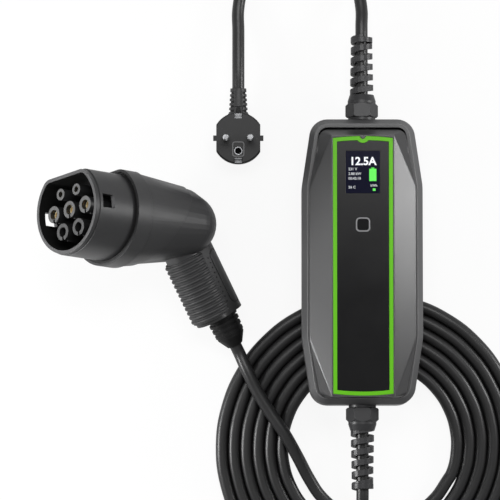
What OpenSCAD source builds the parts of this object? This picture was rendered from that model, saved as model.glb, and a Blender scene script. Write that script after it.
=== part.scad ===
// Portable charging set for an electric car: a control box with a display, a short mains lead
// with an angled plug, and a coiled output cord with a seven-way vehicle connector on a handle.
// The set lies at rest on a table, which is the plane z = 0. Millimetres and degrees.

/* [Control box] */
// Width of the box
box_w = 93.6; // [88:0.2:104]
// Length of the box between its end walls
box_l = 221; // [214:0.5:240]
// Radius of the corners of the box
corner_r = 14; // [12.5:0.5:16]
// How much each side of the box draws in at the corners
end_taper = 5.8; // [4:0.2:8]
// Radius of the soft shoulders where the sides start to draw in
shoulder_r = 40; // [34:1:43]
// Distance of the shoulders from the middle of the box
shoulder_y = 56; // [48:1:62]
// Height of the rear shell
shell_h = 39; // [37:0.5:44]
// Wall thickness of the box
wall = 2.8; // [2.2:0.1:3.2]
// Height of the slope round the front edge of the rear shell
bevel_h = 7; // [5:0.5:9]
// Width of that slope
bevel_w = 4.2; // [3:0.2:4.4]
// Chamfer round the back of the rear shell
back_chamfer = 3; // [1.5:0.5:4]

/* [Front cover] */
// Width of the front cover
cover_w = 82; // [80:0.2:83]
// Distance of the cover's ends inside the ends of the box, as a mean of the two ends
cover_end = 7; // [6:0.1:9]
// How much each side of the cover draws in at its corners
cover_taper = 7.2; // [5:0.2:9]
// Radius of the corners of the cover
cover_r = 7; // [5:0.5:9]
// How far the cover sits below the middle of the box
cover_drop = 2.1; // [1:0.1:2.6]
// Thickness of the gasket under the cover, which shows as a dark line
seal_t = 1; // [0.6:0.1:1.6]
// Height of the cover from the gasket to its flat ridge
cover_h = 12.4; // [11:0.2:16]
// Height of the upright edge of the cover
cover_edge_h = 2; // [1.2:0.2:3]

/* [Front panel] */
// Width of the coloured trim round the panel
trim_w = 46.4; // [42:0.2:50]
// Distance of the trim's ends inside the ends of the cover, as a mean of the two ends
trim_end = 3.5; // [3.4:0.1:8]
// Width of the trim's band
trim_band = 3.2; // [2:0.1:4.5]
// How far the ends of the trim bow out
trim_bow = 1.5; // [0.8:0.1:2.5]
// Radius of the notch in the middle of the trim's upper end
notch_r = 2.2; // [1.6:0.1:3]
// How far the panel sits below the middle of the cover
panel_drop = 2.5; // [1:0.1:2.6]
// Thickness of the front panel
panel_t = 2.4; // [1.8:0.1:3]
// Width of the display
display_w = 26.2; // [22:0.2:30]
// Length of the display
display_l = 32.6; // [28:0.2:40]
// Distance of the display's middle below the trim's upper end
display_y = 27.9; // [23:0.1:36]
// Width of the push button's cap
button_w = 8.6; // [7:0.2:11]
// Width of the rim round the button
button_rim = 1; // [0.6:0.1:1.6]
// Distance of the button's middle below the trim's upper end
button_y = 68.4; // [60:0.1:78]
// Travel of the button
button_travel = 0.8; // [0.4:0.1:1]

/* [Glands] */
// Width of the gland nut across its corners
nut_corners = 25.4; // [24:0.2:28]
// Length of the gland nut's hexagon
nut_l = 11; // [9:0.5:14]
// Length of the round shoulder between the nut and the spiral tail
nut_shoulder_l = 6.5; // [5:0.5:9]
// Outer diameter of the spiral tail where it starts
tail_d = 18.8; // [18:0.2:20]
// Length of the spiral tail
tail_l = 45; // [38:0.5:54]
// Pitch of the spiral tail
tail_pitch = 8.2; // [7.6:0.1:9.2]
// Width of the band of the spiral tail
tail_band = 4.6; // [4:0.1:5.2]
// Radius of the thread that passes the end wall
gland_thread_r = 8; // [7.6:0.1:8.6]
// Height of the glands above the back of the box
gland_z = 22; // [20:0.5:24]

/* [Cords] */
// Diameter of both cords
cord_d = 9.6; // [9:0.1:10.4]
// Radius of the hole in the coil
coil_r_in = 53; // [48:0.5:56]
// Outer radius of the coil
coil_r_out = 125; // [120:0.5:130]

/* [Vehicle connector] */
// Outer radius of the shroud round the contacts
shroud_r = 35; // [34:0.1:36]
// Height of the shroud's flat side above its middle
shroud_flat = 27.9; // [27.4:0.1:29]
// Radius of the corners beside the flat side
shroud_corner = 10.5; // [7:0.5:14]
// Wall thickness of the shroud
shroud_wall = 3.4; // [2.6:0.1:3.6]
// Length of the shroud in front of the collar
shroud_l = 39; // [36:0.5:44]
// Length of the locking window in each side of the shroud
window_l = 11.4; // [8:0.2:13]
// Width of the locking window
window_w = 10.4; // [8:0.2:12]
// Distance of the locking window's middle behind the rim
window_back = 12; // [10:0.5:15]
// Distance of the outer power contacts from the middle one
power_pitch = 18; // [17.4:0.1:18.4]
// Distance of the lower pair of sleeves below the middle row
lower_drop = 15.5; // [15:0.1:16]
// Distance of the signal contacts above the middle row
signal_rise = 13.8; // [13.2:0.1:14.4]
// Outer diameter of the large sleeves
sleeve_d = 13; // [12.2:0.1:13.6]
// Outer diameter of the small sleeves
small_sleeve_d = 8.8; // [8:0.1:9.4]
// Bore radius of the power contacts
power_bore_r = 3.05; // [2.9:0.05:3.2]
// Bore radius of the signal contacts
signal_bore_r = 1.55; // [1.4:0.05:1.7]
// Wall thickness of the contacts
contact_wall = 0.6; // [0.4:0.05:0.8]
// Depth of the contact bores
contact_depth = 22; // [16:0.5:24]
// How far the sleeves sit behind the shroud's rim
sleeve_back = 3; // [2:0.5:6]

/* [Connector handle] */
// Radius of the collar behind the shroud
collar_r = 39; // [38.4:0.2:41]
// Length of the collar
collar_l = 14; // [12:0.5:18]
// Distance of the heel's middle behind the collar's front
heel_back = 72; // [64:0.5:76]
// Radius of the heel
heel_r = 24; // [23:0.1:25]
// Radius of the handle's rounded sides
handle_r = 15; // [14:0.1:16]
// How much deeper the handle is than wide
handle_deep = 12; // [8:0.5:13]
// Length of the handle from its start inside the heel
handle_l = 82; // [76:0.5:94]
// Angle of the handle below the line of the contacts
handle_angle = 59; // [55:0.5:63]
// Number of ribs on the finger side of the handle
rib_count = 13; // [9:1:15]
// Spacing of those ribs
rib_pitch = 3.9; // [3.6:0.1:4.2]
// Thickness of the soft sleeve that carries the ribs
grip_t = 1.4; // [1.2:0.1:2.4]
// Length of the bend guard at the end of the handle
guard_l = 26; // [22:0.5:32]
// Radius of the bend guard where it meets the handle
guard_r = 12.5; // [11:0.1:14]

/* [Mains plug] */
// Radius of the plug's round body
plug_r = 20; // [19.5:0.1:21]
// Half the width of the plug across its flats
plug_half_w = 17.1; // [16.5:0.1:18]
// Thickness of the plug's body
plug_h = 26; // [24:0.5:30]
// Distance between the two pins
pin_pitch = 19; // [18.8:0.1:19.2]
// Radius of the pins
pin_r = 2.4; // [2.3:0.05:2.45]
// Length of the pins in front of the plug's face
pin_l = 19; // [18:0.5:20]
// Distance of the earth socket from the line of the pins
earth_drop = 10; // [9.6:0.1:10.4]
// Length of the plug's bend guard
plug_guard_l = 22; // [18:0.5:30]

/* [Hidden] */

$fn = 64;
// Clearance between pieces that fit into each other
clear = 0.2;
// Small overlap that makes cuts pass right through
cut = 1;
// Thickness of a slab that stands for an edge in a hull
edge = 0.01;
cord_r = cord_d / 2;
// Room round a cord in a guard or gland
cord_room = 0.4;

// Places of the pieces on the table
box_x = 101;
box_y = -1.6;
coil_x = 110;
coil_y = -143.4;
connector_x = -96.5;
connector_y = 36.5;
connector_yaw = 171;
connector_pitch = 43;
plug_x = 5;
plug_y = 97;

// The cover follows the box, and the trim follows the cover
cover_l = box_l - 2 * cover_end;
trim_l = cover_l - 2 * trim_end;

// The box leans on the coil's outer turn and on the back edge of its upper end
pivot_y = box_l / 2 - back_chamfer;
coil_top_y = coil_y + coil_r_out - cord_r;
box_tilt = 2 * atan((cord_r + clear / 2) / (box_y + pivot_y - coil_top_y));

// Heights in the box, from its back
seat_z = shell_h + seal_t;
ridge_z = seat_z + cover_h;
pocket_z = ridge_z - panel_t - clear;
cover_skin = 1.8;
seat_inset = 4;
cover_inner_z = pocket_z - cover_skin;
display_board_t = 1.6;
display_board_z = shell_h - wall;
display_board_top = display_board_z + display_board_t;
board_z = 8;
board_t = 1.6;
board_top = board_z + board_t;

// Front panel and what sits in it
panel_y = -cover_drop - panel_drop;
trim_top = panel_y + trim_l / 2;
display_at = trim_top - display_y;
button_at = trim_top - button_y;
flat_margin = 0.8;
display_lip = 2;
rim_w = button_w + 2 * button_rim + 2 * clear;
button_r = 2;
stem_r = 1.8;
button_top = pocket_z + panel_t;
cap_t = panel_t - button_travel - clear;
switch_h = 2.6;
switch_w = 6;
switch_top = display_board_top + switch_h;
stem_end = switch_top + button_travel + clear / 2;

// Boards and screws
control_board_w = 74;
board_room = 37.5;
control_board_l = box_l - 2 * board_room;
board_boss_r = 4;
board_screw_x = control_board_w / 2 - board_boss_r;
board_screw_y = control_board_l / 2 - board_boss_r;
display_board_w = 40;
display_board_end = 25;
display_board_l = display_at - button_at + 2 * display_board_end;
display_board_y = (display_at + button_at) / 2;
screw_r = 1.5;
screw_head_r = 2.8;
screw_head_h = 2;
cover_boss_r = 4.6;
cover_screw_x = 31;
cover_screw_end = 18.5;
cover_screw_y = cover_l / 2 - cover_screw_end;
cover_screw_top = seat_z + 3.4;

// Parts on the control board
terminal_end = 15;
terminal_y = control_board_l / 2 - terminal_end;
supply_back = 22;
relay_x = 17;
relay_y = 4;
relay_w = 28;
relay_l = 13;
relay_h = 20;
sensor_y = -28;
sensor_r = 11;
sensor_bore_r = 6;
sensor_l = 10;
supply_x = 16;
supply_y = terminal_y - supply_back;
supply_w = 22;
supply_l = 24;
supply_h = 17;
supply_foot_h = 4;
capacitor_gap = 6;
capacitor_r = 5;
capacitor_h = 18;
terminal_w = 36;
terminal_l = 10;
terminal_h = 11;

// Gland stack, measured outwards from the end wall
wall_y = box_l / 2;
gland_flange_r = 10.6;
gland_flange_l = 2.2;
gland_inside = 9;
locknut_l = 4;
locknut_corners = 23;
spigot_r = 8.6;
spigot_l = 8;
gland_bore_r = cord_r + cord_room;
seal_l = 4;
nut_y = wall_y + gland_flange_l + clear;
shoulder_y0 = nut_y + nut_l;
tail_y = shoulder_y0 + nut_shoulder_l;
tail_end = tail_y + tail_l;
nut_edge = 1;
nut_chamfer = 1.8;
tail_ring = 4;
tail_taper = 0.9;
tail_steps = 20;
tail_bore_r = gland_bore_r + clear;

// Connector, along its own axes: x out of the face, y to its side, z to its flat top
rim_step = 0.8;
rim_l = 4;
spigot_back = 8;
carrier_x = 4;
sleeve_x = shroud_l - sleeve_back;
contact_x = sleeve_x - 4;
contact_tail = 6;
sleeve_slot_w = 1.8;
sleeve_slot_l = 5;
power_seat_r = power_bore_r + contact_wall + clear / 2;
signal_seat_r = signal_bore_r + contact_wall + clear / 2;
half_pitch = power_pitch / 2;
collar_grow = collar_r - shroud_r;
collar_round = 1;
groove_w = 1.6;
groove_l = 3;
seam_angle = 31;
seam_back = 52;
seam_step = 1;
seam_reach = 2 * (heel_back + handle_l);
handle_dir = [-cos(handle_angle), 0, -sin(handle_angle)];
heel_z = -1;
heel_side = 12.5;
back_r = 15;
back_behind = 2;
back_side = 9;
back_rise = 14;
back_at = [-heel_back - back_behind, back_side, heel_z + back_rise];
handle_behind = 5;
handle_rise = 7.5;
handle_at = [-heel_back - handle_behind, 0, heel_z + handle_rise];
root_start = 8;
root_end = 16;
root_grow = 2;
clamp_r = 9;
clamp_l = 12;
guard_root = 8;
clamp_gap = 2;
clamp_at = handle_l - guard_root - clamp_l - clamp_gap;
sleeve_start = 28;
sleeve_span = 190;
rib_r = 1.2;
inset_start = 31;
inset_end = 77;
inset_w = 12;
inset_x = 4;
inset_line = 0.9;
inset_depth = 0.7;
guard_shift = 4;
guard_tip_r = cord_r + 1.4;
guard_groove = 1.6;
guard_nose = 8;
guard_fall = 0.3;
guard_ribs = 4;
guard_bore = 16;

// Attitude in which the heel's lower side and the end of the handle both touch the table
rest_at = [-heel_back, -heel_side, heel_z];
rest_r = heel_r;
reach = handle_at + handle_l * handle_dir - rest_at;
face_up = sin(connector_pitch);
across_up = cos(connector_pitch);
rest_drop = handle_r - rest_r - reach[0] * face_up;
connector_roll = atan2(reach[1], reach[2]) - acos(rest_drop / (across_up * norm([reach[1], reach[2]])));
rest_up = [face_up, across_up * sin(connector_roll), across_up * cos(connector_roll)];
connector_z = rest_r - rest_at * rest_up;

// Plug
plug_cord_z = plug_h / 2;
plug_edge = 2;
pin_tip = 1.4;
pin_nose = 0.9;
pin_root = 8;
pin_root_r = 2;
earth_r = 2.5;
earth_wall = 0.7;
earth_depth = 18;
clip_w = 6;
clip_t = 0.9;
clip_l = 5;
clip_h = 6;
lug_w = 2.4;
lug_l = 4;
lug_h = 12;
plug_guard_r = 7.4;
plug_neck_r = plug_guard_r + 2;
plug_neck_l = 3;
plug_guard_slots = 5;
plug_guard_start = plug_r - 3;
plug_guard_end = plug_guard_start + plug_guard_l;
plug_guard_bore = 14;
slot_x = cord_r + 2.2;
slot_y = plug_guard_start + 4.4;
slot_pitch = 3.5;
slot_l = 7.2;
slot_w = 1.6;

// A point given along the box's own axes, as a point on the table
function box_point(p) = let (y = p[1] - pivot_y)
    [box_x + p[0],
     box_y + pivot_y + y * cos(box_tilt) + p[2] * sin(box_tilt),
     p[2] * cos(box_tilt) - y * sin(box_tilt)];

// A point given along the connector's own axes, as a point on the table
function turn_x(p, a) = [p[0], p[1] * cos(a) - p[2] * sin(a), p[1] * sin(a) + p[2] * cos(a)];
function turn_y(p, a) = [p[0] * cos(a) + p[2] * sin(a), p[1], p[2] * cos(a) - p[0] * sin(a)];
function turn_z(p, a) = [p[0] * cos(a) - p[1] * sin(a), p[0] * sin(a) + p[1] * cos(a), p[2]];
function connector_point(p) = [connector_x, connector_y, connector_z]
    + turn_z(turn_y(turn_x(p, connector_roll), -connector_pitch), connector_yaw);

// A point on the axis of the handle's bend guard, at a distance from the handle's start
function guard_point(along) = handle_at + along * handle_dir
    + guard_shift * [-handle_dir[2], 0, handle_dir[0]];

// Routes of the cords' loose stretches
gland_steps = [-8.5, 13.5, 35.5, 55.5, 73.5];
mains_route = concat(
    [for (y = gland_steps) box_point([0, wall_y + y, gland_z])],
    [[101, 199, 12], [97, 216, 8], [87, 232, 5], [71, 242, 4.8], [53, 246, 4.8], [35, 242, 4.8],
     [19, 232, 4.8], [9, 216, 5], [5, 199, 6], [5, 181, 8.5], [5, 163, 11.5], [5, 148, 13]],
    [for (y = [plug_guard_end, plug_guard_end - plug_guard_bore]) [plug_x, plug_y + y, plug_cord_z]]);
tail_route = concat(
    [for (y = gland_steps) box_point([0, -wall_y - y, gland_z])],
    [[100.5, -198, 41], [97, -214, 34], [88, -228, 25], [73, -238, 17.5], [56, -241, 14.5],
     [39, -238, 12], [25, -228, 6]]);
lead_route = concat(
    [for (along = [-guard_bore, 0, 8]) connector_point(guard_point(handle_l + guard_l + along))],
    [[11.5, -83.5, 14.8], [19.5, -100, 14.8], [30, -117, 14.6], [41.5, -134, 14.2], [51, -151, 11],
     [61, -169, 6], [72, -185, 4.8]]);

// Plain box between two heights
module slab(z0, z1) {
    translate([0, 0, z0]) linear_extrude(z1 - z0) children();
}

// Outline with straight sides that draw in towards rounded corners
module tapered_outline(w, l, r, taper, shoulder) {
    hull() for (sx = [-1, 1], sy = [-1, 1]) {
        translate([sx * (w / 2 - taper - r), sy * (l / 2 - r)]) circle(r, $fn = 32);
        translate([sx * (w / 2 - shoulder), sy * shoulder_y]) circle(shoulder, $fn = 64);
    }
}

module box_outline(inset = 0) {
    tapered_outline(box_w - 2 * inset, box_l - 2 * inset, corner_r - inset, end_taper, shoulder_r - inset);
}

module cover_outline(inset = 0) {
    translate([0, -cover_drop])
        tapered_outline(cover_w - 2 * inset, cover_l - 2 * inset, cover_r - inset, cover_taper,
            shoulder_r - inset);
}

// Outline of the trim with bowed ends and the notch in its upper end
module panel_outline(inset = 0) {
    half_w = trim_w / 2 - inset;
    half_l = trim_l / 2;
    bow_r = (trim_w * trim_w / 4 + trim_bow * trim_bow) / (2 * trim_bow);
    translate([0, panel_y]) difference() {
        intersection() {
            square([2 * half_w, trim_l], center = true);
            translate([0, bow_r - half_l]) circle(bow_r - inset, $fn = 128);
            translate([0, half_l - bow_r]) circle(bow_r - inset, $fn = 128);
        }
        translate([0, half_l]) circle(notch_r + inset, $fn = 32);
    }
}

module soft_square(w, r) {
    union() {
        square([w, w - 2 * r], center = true);
        square([w - 2 * r, w], center = true);
        for (sx = [-1, 1], sy = [-1, 1])
            translate([sx * (w / 2 - r), sy * (w / 2 - r)]) circle(r, $fn = 32);
    }
}

module at_corners(x, y) {
    for (sx = [-1, 1], sy = [-1, 1]) translate([sx * x, sy * y, 0]) children();
}

// Puts a piece that is drawn along the box's own axes in its place
module on_box() {
    translate([box_x, box_y + pivot_y, 0]) rotate([-box_tilt, 0, 0])
        translate([0, -pivot_y, 0]) children();
}

// Puts a gland piece, drawn up the z axis, on one end of the box: 1 is the mains end, -1 the output end
module on_gland(end) {
    on_box() translate([0, 0, gland_z]) rotate([-90 * end, 0, 0]) children();
}

module on_connector() {
    translate([connector_x, connector_y, connector_z])
        rotate([connector_roll, -connector_pitch, connector_yaw]) children();
}

// Draws a piece of the connector that is a profile along its face axis
module along_face(x0, x1) {
    translate([x0, 0, 0]) rotate([90, 0, 90]) linear_extrude(x1 - x0) children();
}

// Puts a piece that is drawn up the z axis on the handle's axis, with its x axis towards the spine
module on_handle() {
    on_connector() translate(handle_at) rotate([0, 270 - handle_angle, 0]) children();
}

module on_plug() {
    translate([plug_x, plug_y, 0]) children();
}

// Round outline with a flat top and rounded corners beside it
module d_outline(r, flat, corner) {
    corner_x = sqrt(pow(r - corner, 2) - pow(flat - corner, 2));
    corner_y = flat - corner;
    union() {
        intersection() {
            circle(r, $fn = 96);
            translate([-r, -r]) square([2 * r, r + corner_y * r / (r - corner)]);
        }
        for (side = [-1, 1]) translate([side * corner_x, corner_y]) circle(corner, $fn = 48);
        translate([-corner_x, 0]) square([2 * corner_x, flat]);
    }
}

// Outline of the shroud, grown or shrunk all round
module shroud_outline(grow = 0) {
    d_outline(shroud_r + grow, shroud_flat + grow, shroud_corner + grow);
}

// Sweeps a round cord along a list of points
module cord(points, sides = 10) {
    last = len(points) - 1;
    rings = [for (i = [0:last])
        let (t0 = points[min(i + 1, last)] - points[max(i - 1, 0)],
             t = t0 / norm(t0),
             s0 = cross(t, [0, 0, 1]),
             s = s0 / norm(s0),
             u = cross(s, t))
        for (a = [0:360 / sides:359]) points[i] + cord_r * (cos(a) * s + sin(a) * u)];
    walls = [for (i = [0:last - 1], k = [0:sides - 1])
        let (a = i * sides + k, b = i * sides + (k + 1) % sides)
        [a, b, b + sides, a + sides]];
    ends = [[for (k = [sides - 1:-1:0]) k], [for (k = [0:sides - 1]) last * sides + k]];
    polyhedron(points = rings, faces = concat(walls, ends), convexity = 6);
}

// Box

module rear_shell() {
    color("#3c3d3f") on_box() difference() {
        union() {
            difference() {
                hull() {
                    slab(0, edge) box_outline(back_chamfer);
                    slab(back_chamfer, shell_h - bevel_h) box_outline();
                    slab(shell_h - edge, shell_h) box_outline(bevel_w);
                }
                slab(wall, shell_h - bevel_h) box_outline(wall);
                slab(shell_h - bevel_h - cut, shell_h + cut) box_outline(bevel_w + wall);
            }
            at_corners(board_screw_x, board_screw_y) slab(wall - cut / 2, board_z) circle(board_boss_r);
            at_corners(cover_screw_x, cover_screw_y) slab(wall - cut / 2, shell_h) circle(cover_boss_r);
        }
        at_corners(board_screw_x, board_screw_y) slab(wall, board_z + cut) circle(screw_r + clear / 2);
        at_corners(cover_screw_x, cover_screw_y) {
            slab(-cut, shell_h + cut) circle(screw_r + clear);
            slab(-cut, screw_head_h + cut) circle(screw_head_r + clear);
        }
        for (end = [-1, 1]) translate([0, 0, gland_z]) rotate([-90 * end, 0, 0])
            slab(wall_y - 2 * wall, wall_y + cut) circle(gland_thread_r + clear);
    }
}

module front_cover() {
    color("#55565a") on_box() difference() {
        union() {
            difference() {
                hull() {
                    slab(seat_z, seat_z + cover_edge_h) cover_outline();
                    slab(ridge_z - edge, ridge_z) translate([0, panel_y])
                        square([trim_w + 2 * flat_margin, trim_l + 2 * flat_margin], center = true);
                }
                slab(seat_z - cut, seat_z + cover_edge_h) cover_outline(seat_inset);
                slab(seat_z, cover_inner_z) translate([0, panel_y])
                    square([trim_w - 2 * trim_band, trim_l - 6 * trim_band], center = true);
            }
            at_corners(cover_screw_x, cover_screw_y)
                slab(seat_z, seat_z + cover_edge_h + cut) circle(cover_boss_r);
        }
        slab(pocket_z, ridge_z + cut) panel_outline(-clear / 2);
        slab(cover_inner_z - cut, pocket_z + cut) translate([0, display_at])
            square([display_w - display_lip, display_l - display_lip], center = true);
        slab(cover_inner_z - cut, pocket_z + cut) translate([0, button_at]) circle(stem_r + clear, $fn = 32);
        at_corners(cover_screw_x, cover_screw_y)
            slab(seat_z - cut, cover_screw_top + clear) circle(screw_r + clear / 2);
    }
}

module cover_seal() {
    color("#151515") on_box() difference() {
        slab(shell_h, seat_z) cover_outline(clear);
        slab(shell_h - cut, seat_z + cut) cover_outline(seat_inset);
        at_corners(cover_screw_x, cover_screw_y)
            slab(shell_h - cut, seat_z + cut) circle(screw_r + clear);
    }
}

module panel_trim() {
    color("#55b414") on_box() difference() {
        slab(pocket_z, ridge_z) panel_outline(clear / 2);
        slab(pocket_z - cut, ridge_z + cut) panel_outline(trim_band);
    }
}

module front_panel() {
    color("#101113") on_box() difference() {
        slab(pocket_z, pocket_z + panel_t) panel_outline(trim_band + clear / 2);
        slab(pocket_z - cut, ridge_z + cut) translate([0, display_at])
            square([display_w + clear, display_l + clear], center = true);
        slab(pocket_z - cut, ridge_z + cut) translate([0, button_at])
            soft_square(rim_w + clear, button_r + button_rim);
    }
}

module display_window() {
    color("#0b1020") on_box() slab(pocket_z, pocket_z + panel_t) translate([0, display_at])
        square([display_w, display_l], center = true);
}

module display_module() {
    color("#c8ccd2") on_box() slab(display_board_top, pocket_z - clear / 2) translate([0, display_at])
        square([display_w - display_lip - cut, display_l - display_lip - cut], center = true);
}

module display_board() {
    color("#1d5a34") on_box() slab(display_board_z, display_board_top) translate([0, display_board_y])
        square([display_board_w, display_board_l], center = true);
}

module button_ring() {
    color("#8d9094") on_box() translate([0, button_at]) difference() {
        slab(pocket_z, ridge_z) soft_square(rim_w, button_r + button_rim);
        slab(pocket_z - cut, ridge_z + cut) soft_square(button_w + 2 * clear, button_r + clear);
    }
}

module button_cap() {
    color("#17181a") on_box() translate([0, button_at]) union() {
        slab(button_top - cap_t, button_top) soft_square(button_w, button_r);
        slab(stem_end, button_top - cap_t + cut / 2) circle(stem_r, $fn = 32);
    }
}

module button_switch() {
    color("#2b2b2b") on_box() translate([0, button_at]) union() {
        slab(display_board_top, switch_top - cut / 2) square(switch_w, center = true);
        slab(display_board_top, switch_top) circle(stem_r, $fn = 32);
    }
}

module control_board() {
    color("#1d5a34") on_box() difference() {
        slab(board_z, board_top) square([control_board_w, control_board_l], center = true);
        at_corners(board_screw_x, board_screw_y) slab(board_z - cut, board_top + cut) circle(screw_r + clear);
    }
}

module relays() {
    color("#2456a4") on_box() for (side = [-1, 1]) translate([side * relay_x, relay_y])
        slab(board_top, board_top + relay_h) square([relay_w, relay_l], center = true);
}

module current_transformer() {
    color("#31343a") on_box() translate([0, sensor_y, board_top + sensor_r]) rotate([90, 0, 0]) difference() {
        slab(-sensor_l / 2, sensor_l / 2) circle(sensor_r);
        slab(-sensor_l, sensor_l) circle(sensor_bore_r);
    }
}

module supply_transformer() {
    color("#c9a13a") on_box() translate([-supply_x, supply_y]) union() {
        slab(board_top, board_top + supply_foot_h) square([supply_w, supply_l], center = true);
        slab(board_top, board_top + supply_h)
            square([supply_w - 2, supply_l - 2 * supply_foot_h], center = true);
    }
}

module capacitors() {
    color("#1f2c55") on_box() for (side = [-1, 1]) translate([supply_x, supply_y + side * capacitor_gap])
        slab(board_top, board_top + capacitor_h) circle(capacitor_r);
}

module terminal_blocks() {
    color("#3f8f4f") on_box() for (end = [-1, 1]) translate([0, end * terminal_y])
        slab(board_top, board_top + terminal_h) square([terminal_w, terminal_l], center = true);
}

module screw(length) {
    union() {
        cylinder(r = screw_head_r, h = screw_head_h);
        cylinder(r = screw_r, h = length);
    }
}

module board_screws() {
    head_top = board_top + screw_head_h;
    color("#b9bcc0") on_box() at_corners(board_screw_x, board_screw_y)
        translate([0, 0, head_top]) mirror([0, 0, 1]) screw(head_top - wall - clear);
}

module cover_screws() {
    color("#b9bcc0") on_box() at_corners(cover_screw_x, cover_screw_y)
        translate([0, 0, clear]) screw(cover_screw_top - clear);
}

// Cord glands

module gland_body() {
    difference() {
        union() {
            slab(wall_y - wall - gland_inside, wall_y + cut) circle(gland_thread_r);
            slab(wall_y, wall_y + gland_flange_l) circle(gland_flange_r);
            slab(wall_y, wall_y + gland_flange_l + spigot_l) circle(spigot_r);
        }
        slab(wall_y - 2 * gland_inside - wall, tail_y) circle(gland_bore_r);
    }
}

module gland_locknut() {
    difference() {
        slab(wall_y - wall - clear - locknut_l, wall_y - wall - clear) circle(locknut_corners / 2, $fn = 6);
        slab(wall_y - wall - locknut_l - cut, wall_y) circle(gland_thread_r + clear / 2);
    }
}

module gland_seal() {
    difference() {
        slab(wall_y + gland_flange_l + spigot_l + clear / 2, wall_y + gland_flange_l + spigot_l + seal_l)
            circle(spigot_r);
        slab(wall_y, tail_y) circle(cord_r + clear);
    }
}

// Open spiral band round the cord
module spiral_tail() {
    turns = (tail_l + tail_band / 2) / tail_pitch;
    steps = ceil(turns * tail_steps);
    ring = [for (i = [0:steps])
        let (a = 360 * turns * i / steps,
             z = tail_y - tail_band + (tail_l + tail_band / 2) * i / steps,
             r = tail_d / 2 - clear - tail_taper * i / steps)
        for (p = [[tail_bore_r, 0], [r, 0], [r, tail_band], [tail_bore_r, tail_band]])
            [p[0] * cos(a), p[0] * sin(a), z + p[1]]];
    walls = [for (i = [0:steps - 1], k = [0:3])
        let (a = 4 * i + k, b = 4 * i + (k + 1) % 4)
        each [[a, b, b + 4], [a, b + 4, a + 4]]];
    ends = [[3, 2, 1, 0], [for (k = [0:3]) 4 * steps + k]];
    polyhedron(points = ring, faces = concat(walls, ends), convexity = 10);
}

module gland_nut() {
    nut_r = nut_corners / 2;
    neck_r = nut_r - nut_chamfer;
    union() {
        difference() {
            union() {
                intersection() {
                    slab(nut_y, shoulder_y0) circle(nut_r, $fn = 6);
                    rotate_extrude() polygon([[0, nut_y], [nut_r - nut_edge, nut_y],
                        [nut_r, nut_y + nut_edge], [nut_r, shoulder_y0 - 2 * nut_edge],
                        [nut_r - 2 * nut_edge, shoulder_y0], [0, shoulder_y0]]);
                }
                rotate_extrude() polygon([[0, shoulder_y0 - cut], [neck_r, shoulder_y0 - cut],
                    [neck_r, shoulder_y0 + nut_chamfer], [tail_d / 2, tail_y], [0, tail_y]]);
            }
            slab(nut_y - cut, wall_y + gland_flange_l + spigot_l + seal_l + clear) circle(spigot_r + clear);
            slab(nut_y, tail_y + cut) circle(gland_bore_r);
        }
        spiral_tail();
        difference() {
            slab(tail_end - tail_ring, tail_end) circle(tail_d / 2 - tail_taper);
            slab(tail_end - tail_ring - cut, tail_end + cut) circle(gland_bore_r);
        }
    }
}

module inlet_gland() { color("#2c2d2f") on_gland(1) gland_body(); }
module inlet_locknut() { color("#2c2d2f") on_gland(1) gland_locknut(); }
module inlet_seal() { color("#151515") on_gland(1) gland_seal(); }
module inlet_nut() { color("#333436") on_gland(1) gland_nut(); }
module outlet_gland() { color("#2c2d2f") on_gland(-1) gland_body(); }
module outlet_locknut() { color("#2c2d2f") on_gland(-1) gland_locknut(); }
module outlet_seal() { color("#151515") on_gland(-1) gland_seal(); }
module outlet_nut() { color("#333436") on_gland(-1) gland_nut(); }

// Vehicle connector

module shroud() {
    color("#4a4b4e") on_connector() difference() {
        union() {
            along_face(-spigot_back, shroud_l - rim_l) shroud_outline();
            along_face(-spigot_back, shroud_l) shroud_outline(-rim_step);
        }
        along_face(-spigot_back - cut, shroud_l + cut) shroud_outline(-shroud_wall);
        translate([shroud_l - window_back, 0, 0])
            cube([window_l, 2 * shroud_r + cut, window_w], center = true);
    }
}

module shroud_seal() {
    color("#121212") on_connector() difference() {
        along_face(-groove_l, -clear) shroud_outline(groove_w);
        along_face(-groove_l - cut, cut) shroud_outline(clear / 2);
    }
}

// Places of the large sleeves, power contacts first, as side and height
LARGE = [[0, 0], [power_pitch, 0], [-power_pitch, 0], [half_pitch, -lower_drop], [-half_pitch, -lower_drop]];
SMALL = [[half_pitch, signal_rise], [-half_pitch, signal_rise]];

module contact_carrier() {
    color("#8b8e91") on_connector() difference() {
        along_face(-spigot_back, carrier_x) shroud_outline(-shroud_wall - clear);
        for (p = LARGE) along_face(-spigot_back - cut, carrier_x + cut) translate(p) circle(power_seat_r);
        for (p = SMALL) along_face(-spigot_back - cut, carrier_x + cut) translate(p) circle(signal_seat_r);
    }
}

// Sleeve that stands on the carrier round one contact, with a keying slot in its lower edge
module large_sleeve(p) {
    on_connector() difference() {
        along_face(carrier_x, sleeve_x) translate(p) circle(sleeve_d / 2);
        along_face(carrier_x - cut, sleeve_x + cut) translate(p) circle(power_seat_r);
        translate([sleeve_x, p[0], p[1] - sleeve_d / 2])
            cube([2 * sleeve_slot_l, sleeve_slot_w, 3 * sleeve_slot_w], center = true);
    }
}

module power_sleeves() { color("#8b8e91") for (i = [0:2]) large_sleeve(LARGE[i]); }
module spare_sleeves() { color("#8b8e91") for (i = [3, 4]) large_sleeve(LARGE[i]); }

module signal_sleeves() {
    color("#8b8e91") on_connector() for (p = SMALL) difference() {
        along_face(carrier_x, sleeve_x) translate(p) circle(small_sleeve_d / 2);
        along_face(carrier_x - cut, sleeve_x + cut) translate(p) circle(signal_seat_r);
    }
}

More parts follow.
